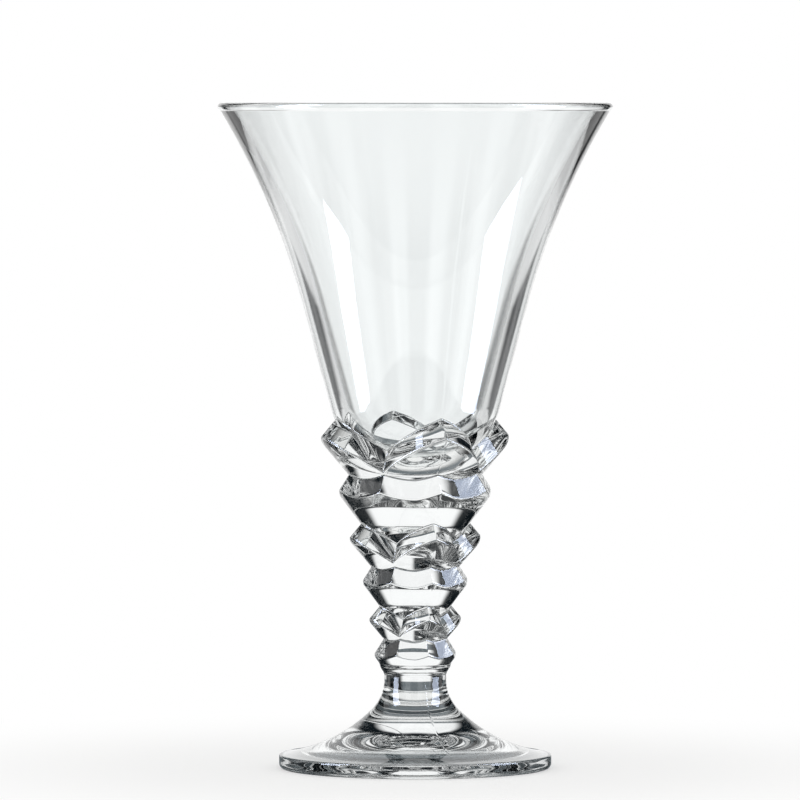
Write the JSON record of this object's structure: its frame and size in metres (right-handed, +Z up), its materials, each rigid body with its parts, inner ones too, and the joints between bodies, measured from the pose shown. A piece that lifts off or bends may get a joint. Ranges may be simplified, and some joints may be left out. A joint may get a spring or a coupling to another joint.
{
  "type": "sundae glass",
  "caption": "Tall clear pressed-glass sundae glass: flared round bowl on a stem of stacked leaf crowns and faceted collars, with a broad round foot, for serving iced desserts.",
  "frame": {"origin": "on the axis of the glass, in the plane that the foot stands on", "axes": "+Z up along the axis of the glass; the leaves of the crowns point along +X, +Y, -X and -Y"},
  "size_m": [0.113, 0.113, 0.1905],
  "materials": {
    "bowl_glass": "fire-polished clear pressed glass",
    "stem_glass": "fire-polished clear pressed glass",
    "foot_glass": "fire-polished clear pressed glass"
  },
  "bodies": {
    "root": {"bowl": "bowl_glass", "stem": "stem_glass", "foot": "foot_glass"}
  },
  "joints": []
}
